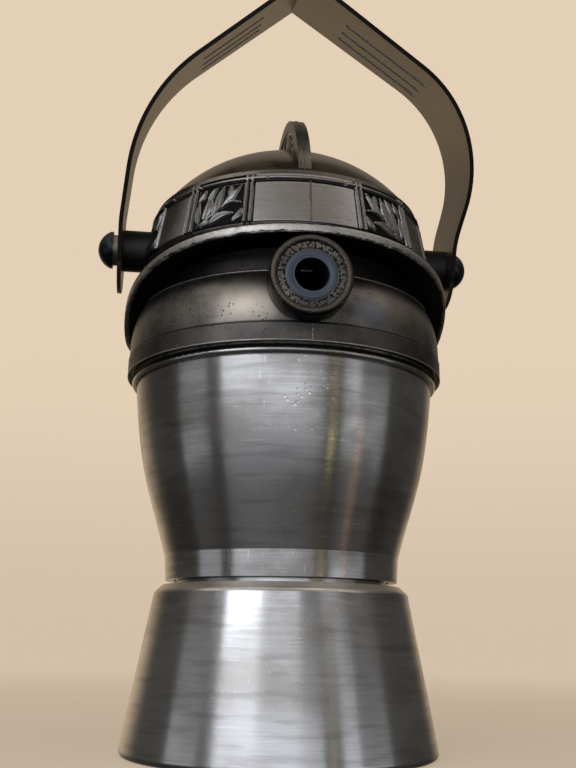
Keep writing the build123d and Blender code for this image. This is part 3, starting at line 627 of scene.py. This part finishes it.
def cast_paint(name):
    paint = Paint(name)
    tone, roughness, relief = cast_tone(paint, 2.0)
    return paint.metal(tone, roughness, relief, 0.09)


def collar_paint():
    """Cast metal, blacker on the ring, with painted light: near-black shade in the groove and below the ring,
    a pale lower ring edge (rubbed wear and painted highlight), a tan highlight and a bluish reflection on the
    shoulder's front.
    """
    paint = Paint("collar casting")
    tone, roughness, relief = cast_tone(paint, 4.0)
    x, y, z = paint.axes()
    ring = paint.rise(z, RING_HIGH_Z + 1.2, RING_HIGH_Z - 0.2)
    tone = paint.mix(ring * 0.6, tone, (0.06, 0.056, 0.052))
    # Painted shade: the groove just above the ring is painted near-black.
    groove = paint.near(z, RING_HIGH_Z + 0.5, 0.45)
    tone = paint.mix(groove * 0.9, tone, (0.012, 0.012, 0.012))
    # Pale lower edge of the ring: partly rubbed wear, partly a painted highlight.
    edge = paint.near(z, RING_LOW_Z, 0.6) * paint.rise(paint.grain(2.0), 0.3, 0.6)
    tone = paint.mix(edge * 0.6, tone, (0.4, 0.38, 0.35))
    # Painted highlight: a tan lit patch on the front left of the shoulder.
    painted_highlight_patch = paint.near(x, -17.0, 14.0) * paint.near(z, 123.5, 7.0) * paint.rise(y, 0.0, -20.0)
    tone = paint.mix(painted_highlight_patch * 0.7, tone, (0.50, 0.44, 0.36))
    # Painted reflection: a bluish patch of window light on the front right of the shoulder.
    painted_reflection_patch = paint.near(x, 19.0, 8.0) * paint.near(z, 123.0, 6.0) * paint.rise(y, 0.0, -20.0)
    tone = paint.mix(painted_reflection_patch * 0.6, tone, (0.26, 0.31, 0.42))
    # Painted shade: everything below the ring's lower edge is painted near-black.
    painted_shade_below_ring = paint.rise(z, RING_LOW_Z - 0.05, RING_LOW_Z - 0.5)
    tone = paint.mix(painted_shade_below_ring, tone, (0.01, 0.01, 0.01))
    return paint.metal(tone, roughness + ring * 0.06, relief, 0.07)


def cover_paint():
    """Cast metal: smooth bronze-grey dome; everything below the band, skirt and brim with its underside,
    painted near-black as shade.
    """
    paint = Paint("cover casting")
    tone, roughness, relief = cast_tone(paint, 6.0)
    _, _, z = paint.axes()
    dome = paint.rise(z, BAND_HIGH_Z + 1.4, BAND_HIGH_Z + 2.2)
    swirl = paint.grain(9.0, 4.0, (2.0, 2.0, 0.6), 8.0)
    bronze = paint.mix(swirl, (0.16, 0.135, 0.10), (0.34, 0.30, 0.24))
    tone = paint.mix(dome, tone, bronze)
    # Painted shade: everything below the band, skirt and both faces of the brim, is painted near-black.
    under = paint.rise(z, BAND_LOW_Z - 0.3, BAND_LOW_Z - 1.0)
    tone = paint.mix(under, tone, (0.022, 0.020, 0.018))
    return paint.metal(tone, roughness - dome * 0.12, relief * (1.0 - dome * 0.75), 0.07)


def frieze_paint():
    """Cast relief: painted shade near-black in the hollows, pale on the high places as rubbed wear and
    painted highlight, faint brushing on plain ground.
    """
    paint = Paint("frieze relief")
    height = paint.attribute("height")
    brush = paint.grain(0.3, 3.0, (20, 20, 1), 12.0)
    fine = paint.grain(0.5, 4.0, shift=14.0)
    patch = paint.grain(12.0, 3.0, shift=15.0)
    ground = paint.mix(brush * 0.6 + patch * 0.4, (0.22, 0.218, 0.222), (0.60, 0.595, 0.60))
    # Painted shade: the hollows below the ground are painted near-black.
    low = paint.rise(height, 0.0, -0.16)
    leafy = paint.rise(height, 0.05, 0.2)
    # Pale high places: partly rubbed wear, partly a painted highlight.
    high = paint.rise(height, 0.40, 0.66) * paint.rise(fine, 0.25, 0.55)
    tone = paint.mix(low, ground, (0.012, 0.012, 0.012))
    tone = paint.mix(leafy * 0.85, tone, (0.17, 0.166, 0.16))
    tone = paint.mix(high * 0.85, tone, (0.40, 0.39, 0.375))
    roughness = 0.24 + 0.10 * fine + 0.2 * low
    return paint.metal(tone, roughness, brush * 0.4 + fine * 0.6, 0.05)


def edge_paint():
    """Bare cast edge, pale and coarse."""
    paint = Paint("brim edge")
    fine = paint.grain(0.5, 5.0, (1.6, 1.6, 1), 21.0)
    patch = paint.grain(6.0, 3.0, shift=23.0)
    tone = paint.mix(fine, (0.34, 0.325, 0.305), (0.80, 0.76, 0.71))
    tone = paint.mix(paint.rise(patch, 0.62, 0.75) * 0.5, tone, (0.13, 0.12, 0.11))
    return paint.metal(tone, 0.30 + 0.16 * fine, fine, 0.10)


def spout_paint():
    """Rough dark end of the spout with brown highlights on its rim and on the stippling."""
    paint = Paint("spout face")
    height = paint.attribute("height")
    fine = paint.grain(0.4, 4.0, shift=27.0)
    tone = paint.mix(paint.rise(height, 0.05, 0.3) * fine, (0.016, 0.015, 0.014), (0.15, 0.13, 0.105))
    tone = paint.mix(paint.rise(height, 0.4, 0.62) * 0.4, tone, (0.17, 0.15, 0.12))
    return paint.metal(tone, 0.28 + 0.15 * fine, fine, 0.12)


def liner_paint():
    paint = Paint("spout liner")
    turned = paint.grain(0.5, 3.0, (1, 14, 1), 31.0)
    tone = paint.mix(turned, (0.075, 0.088, 0.115), (0.13, 0.15, 0.19))
    return paint.metal(tone, 0.42 + 0.1 * turned, turned, 0.02)


def strap_paint():
    """Satin steel, brushed along the strap, olive-grey, near-black along its long edges."""
    paint = Paint("strap steel")
    _, y, z = paint.axes()
    brush = paint.grain(0.22, 3.0, (60, 1, 60), 35.0)
    patch = paint.grain(16.0, 3.0, shift=37.0)
    tone = paint.mix(patch * 0.5 + brush * 0.5, (0.14, 0.13, 0.105), (0.27, 0.25, 0.21))
    specks = paint.rise(paint.cells(5.0), 0.09, 0.05)
    tone = paint.mix(specks, tone, (0.04, 0.04, 0.035))
    up = z - PIVOT_Z
    lean_sin, lean_cos = math.sin(STRAP_LEAN), math.cos(STRAP_LEAN)
    across = paint.math("ABSOLUTE", y * lean_cos + up * lean_sin)
    climb = paint.math("MAXIMUM", up * lean_cos - y * lean_sin - STRAP_TAPER_Z, 0.0)
    # Near-black band along both long edges of the strap.
    edge = paint.rise(across - (STRAP_LOW_HALF + climb * STRAP_TAPER), -0.4, -0.1)
    tone = paint.mix(edge * 0.95, tone, (0.015, 0.014, 0.013))
    return paint.metal(tone, 0.34 + 0.08 * brush + 0.15 * edge, brush, 0.015)


def plain_metal(name, dark, light, rough, size=0.6, stretch=(1, 1, 1), depth=0.02, metallic=1.0):
    """Metal between two tones, with one grain that also roughens it; metallic 0 gives fibre or rubber."""
    paint = Paint(name)
    grain = paint.grain(size, 4.0, stretch, 41.0)
    patch = paint.grain(7.0 * size, 3.0, shift=43.0)
    tone = paint.mix(grain * 0.6 + patch * 0.4, dark, light)
    return paint.metal(tone, rough + 0.12 * grain, grain, depth, metallic)


def dress(node, material):
    """Gives a CAD node its material in every slot."""
    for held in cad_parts[node].material_slots:
        held.material = material


def dress_all():
    light, dark, haze = (0.74, 0.74, 0.75), (0.52, 0.51, 0.49), (0.36, 0.35, 0.34)
    dress("boiler", brushed("boiler metal", light, dark, haze, 1.0))
    light, dark, haze = (0.62, 0.615, 0.61), (0.40, 0.385, 0.365), (0.28, 0.27, 0.26)
    dress("barrel", brushed("barrel metal", light, dark, haze, 3.0, True))
    dress("collar", collar_paint())
    dress("cover", cover_paint())
    dress("crest", cast_paint("crest casting"))
    dress("spout_liner", liner_paint())
    dress("bail", strap_paint())
    boss = plain_metal("boss metal", (0.028, 0.028, 0.03), (0.075, 0.073, 0.075), 0.46, 0.4, depth=0.03)
    cap = plain_metal("pivot head", (0.02, 0.026, 0.034), (0.05, 0.06, 0.072), 0.27, 0.8, depth=0.02)
    washer = plain_metal("pivot washer", (0.14, 0.12, 0.10), (0.38, 0.33, 0.28), 0.4, 0.5, depth=0.04)
    for side in ("left", "right"):
        dress(f"{side}_boss", boss)
        dress(f"{side}_pivot_screw", cap)
        dress(f"{side}_washer", washer)
    brass = plain_metal("valve brass", (0.42, 0.28, 0.10), (0.72, 0.52, 0.24), 0.28, 0.5, depth=0.02)
    for node in ("valve_body", "valve_cap", "valve_pin"):
        dress(node, brass)
    dress("valve_spring", plain_metal("spring wire", (0.35, 0.35, 0.36), (0.6, 0.6, 0.6), 0.25, 0.3))
    fibre = plain_metal("fibre", (0.16, 0.05, 0.03), (0.30, 0.11, 0.07), 0.7, 0.3, metallic=0.0)
    dress("valve_washer", fibre)
    dress("gasket", plain_metal("gasket", (0.62, 0.60, 0.55), (0.76, 0.74, 0.70), 0.6, 1.0, metallic=0.0))
    sheet = plain_metal("pressed sheet", (0.5, 0.5, 0.5), (0.74, 0.74, 0.74), 0.26, 0.5, (12, 12, 1), 0.01)
    for node in ("funnel", "funnel_sieve", "filter_plate"):
        dress(node, sheet)
    lines = (16, 16, 1)
    column = plain_metal("turned column", (0.05, 0.04, 0.03), (0.13, 0.11, 0.09), 0.5, 0.3, lines, 0.015)
    for node in ("riser_column", "column_cap"):
        dress(node, column)
    nuts = plain_metal("plated nuts", (0.35, 0.34, 0.32), (0.56, 0.55, 0.53), 0.32, 0.6)
    for node in ("crest_nuts", "pivot_nuts"):
        dress(node, nuts)


# ---------------------------------------------------------------- stage, light and camera

WALL = (0.775, 0.631, 0.474)
HORIZON = (0.655, 0.528, 0.398)
EYE = np.array([-39.2, -297.9, 34.35])
HEADING = math.radians(7.756)
LIFT = math.radians(14.63)
ROLL = math.radians(0.742)
LENS = 44.87


def floor():
    """Round pale floor: matt near the pot, turning into the backdrop's own tone further out."""
    turn = np.linspace(0, 2 * math.pi, 96, endpoint=False)[None, :]
    radius = np.array([0.0, 60.0, 150.0, 300.0, 600.0, 1500.0, 6000.0, 40000.0])[:, None]
    points = np.stack([radius * np.sin(turn), -radius * np.cos(turn), 0 * radius * turn], axis=-1) * MM
    quads = grid_quads(*points.shape[:2], around=True)[:, ::-1]
    mesh = bpy.data.meshes.new("floor")
    mesh.from_pydata(points.reshape(-1, 3).tolist(), [], quads.tolist())
    paint = Paint("floor")
    distance = paint.from_axis()
    far = 0.55 + 0.45 * paint.rise(distance, 90.0, 700.0)
    matt = paint.node("ShaderNodeBsdfDiffuse", None, {"Color": (0.88, 0.76, 0.61, 1.0)}).outputs[0]
    glow = paint.node("ShaderNodeEmission", None, {"Color": (*HORIZON, 1.0), "Strength": 1.0}).outputs[0]
    both = paint.node("ShaderNodeMixShader", None, {0: far, 1: matt, 2: glow}).outputs[0]
    paint.node("ShaderNodeOutputMaterial", None, {"Surface": both})
    mesh.materials.append(paint.material)
    piece = bpy.data.objects.new("floor", mesh)
    piece.visible_glossy = False
    bpy.context.scene.collection.objects.link(piece)


def room():
    """World light: the backdrop's tone behind the pot, dim in front of it and darker below."""
    world = bpy.data.worlds.new("room")
    world.use_nodes = True
    bpy.context.scene.world = world
    paint = Paint("room", world.node_tree)
    direction = paint.node("ShaderNodeTexCoord").outputs["Generated"]
    _, y, z = paint.parts(direction)
    behind = paint.rise(y, 0.60, 1.02)
    tone = paint.mix(behind, (0.07, 0.066, 0.06), (0.58, 0.445, 0.30))
    tone = paint.mix(paint.rise(z, 0.25, 0.9), tone, (0.30, 0.26, 0.21))
    tone = paint.mix(paint.rise(z, 0.0, -0.3) * 0.85, tone, (0.03, 0.028, 0.025))
    seen = paint.node("ShaderNodeLightPath").outputs["Is Camera Ray"]
    wall = paint.mix(paint.rise(z, 0.0, 0.28), HORIZON, WALL)
    tone = paint.mix(seen, tone, wall)
    back = paint.node("ShaderNodeBackground", None, {"Color": tone, "Strength": 1.0}).outputs[0]
    paint.node("ShaderNodeOutputWorld", None, {"Surface": back})


def panel_light(name, azimuths, elevations, radiance, colour, distance=1.3):
    """Flat soft panel that the pot sees between two azimuths, counted from the camera, and two elevations."""
    middle = math.radians(sum(azimuths) / 2) + math.atan2(EYE[0], -EYE[1])
    lift = math.radians(sum(elevations) / 2)
    out = Vector((math.sin(middle) * math.cos(lift), -math.cos(middle) * math.cos(lift), math.sin(lift)))
    lamp = bpy.data.lights.new(name, "AREA")
    lamp.shape = "RECTANGLE"
    lamp.size = 2 * distance * math.tan(math.radians(azimuths[1] - azimuths[0]) / 2)
    lamp.size_y = 2 * distance * math.tan(math.radians(elevations[1] - elevations[0]) / 2)
    lamp.energy = radiance * math.pi * lamp.size * lamp.size_y
    lamp.color = colour
    holder = bpy.data.objects.new(name, lamp)
    holder.location = out * distance + Vector((0, 0, 0.09))
    holder.rotation_euler = out.to_track_quat("Z", "Y").to_euler()
    holder.visible_camera = False
    bpy.context.scene.collection.objects.link(holder)


def lights():
    cool = (0.90, 0.93, 1.0)
    panel_light("window", (-46, 31), (-3, 11), 1.45, cool)
    panel_light("window_high", (-46, 14), (19, 36), 1.0, cool, 1.28)
    panel_light("window_bright", (-47, -18), (17, 36), 2.0, cool, 1.25)
    panel_light("left_high", (-60, -46), (18, 36), 0.45, cool)
    panel_light("window_low", (-46, 31), (-26, -4), 0.20, cool)
    panel_light("right_pane", (45, 58), (-12, 10), 0.85, cool)
    panel_light("right_high", (36, 52), (18, 32), 0.62, cool)
    panel_light("right_dim", (58, 84), (-14, 6), 0.36, cool)
    panel_light("left_pane", (-84, -58), (-12, 10), 0.36, cool)
    panel_light("brass_strip", (36.8, 38.0), (-18, 4), 4.0, (1.0, 0.88, 0.42))
    panel_light("copper_strip", (60.5, 61.7), (-26, -4), 2.4, (1.0, 0.62, 0.40))
    panel_light("overhead", (-60, 60), (60, 89), 0.55, (1.0, 0.94, 0.86), 1.5)


def camera():
    """Camera below the pot's middle, close to it and looking up."""
    ahead = Vector(
        (math.sin(HEADING) * math.cos(LIFT), math.cos(HEADING) * math.cos(LIFT), math.sin(LIFT))
    )
    right = ahead.cross(Vector((0, 0, 1))).normalized()
    up = right.cross(ahead)
    level_right = math.cos(ROLL) * right + math.sin(ROLL) * up
    level_up = math.cos(ROLL) * up - math.sin(ROLL) * right
    lens = bpy.data.cameras.new("camera")
    lens.lens = LENS
    lens.sensor_width = 36.0
    lens.clip_start = 0.01
    lens.clip_end = 100.0
    holder = bpy.data.objects.new("camera", lens)
    turn = Matrix((level_right, level_up, -ahead)).transposed().to_4x4()
    holder.matrix_world = Matrix.Translation(Vector(EYE * MM)) @ turn
    bpy.context.scene.collection.objects.link(holder)
    bpy.context.scene.camera = holder


def main():
    scene = bpy.context.scene
    scene.view_settings.view_transform = "Standard"
    scene.view_settings.look = "None"
    camera()
    floor()
    room()
    lights()
    dress_all()
    frieze()
    crest_relief("crest_relief_right", 1)
    crest_relief("crest_relief_left", -1)
    brim_flash()
    spout_face()
    liner_lip()
    lip = edge_paint()
    hoop("shoulder_lip", SHOULDER_TOP_RADIUS + 0.02, SHOULDER_TOP_Z - 0.02, 0.22, 0.16, lip, 71)
    hoop("ring_lip", RING_RADIUS - 0.06, RING_LOW_Z + 0.12, 0.16, 0.2, lip, 73, 0.25)
    seams()


main()
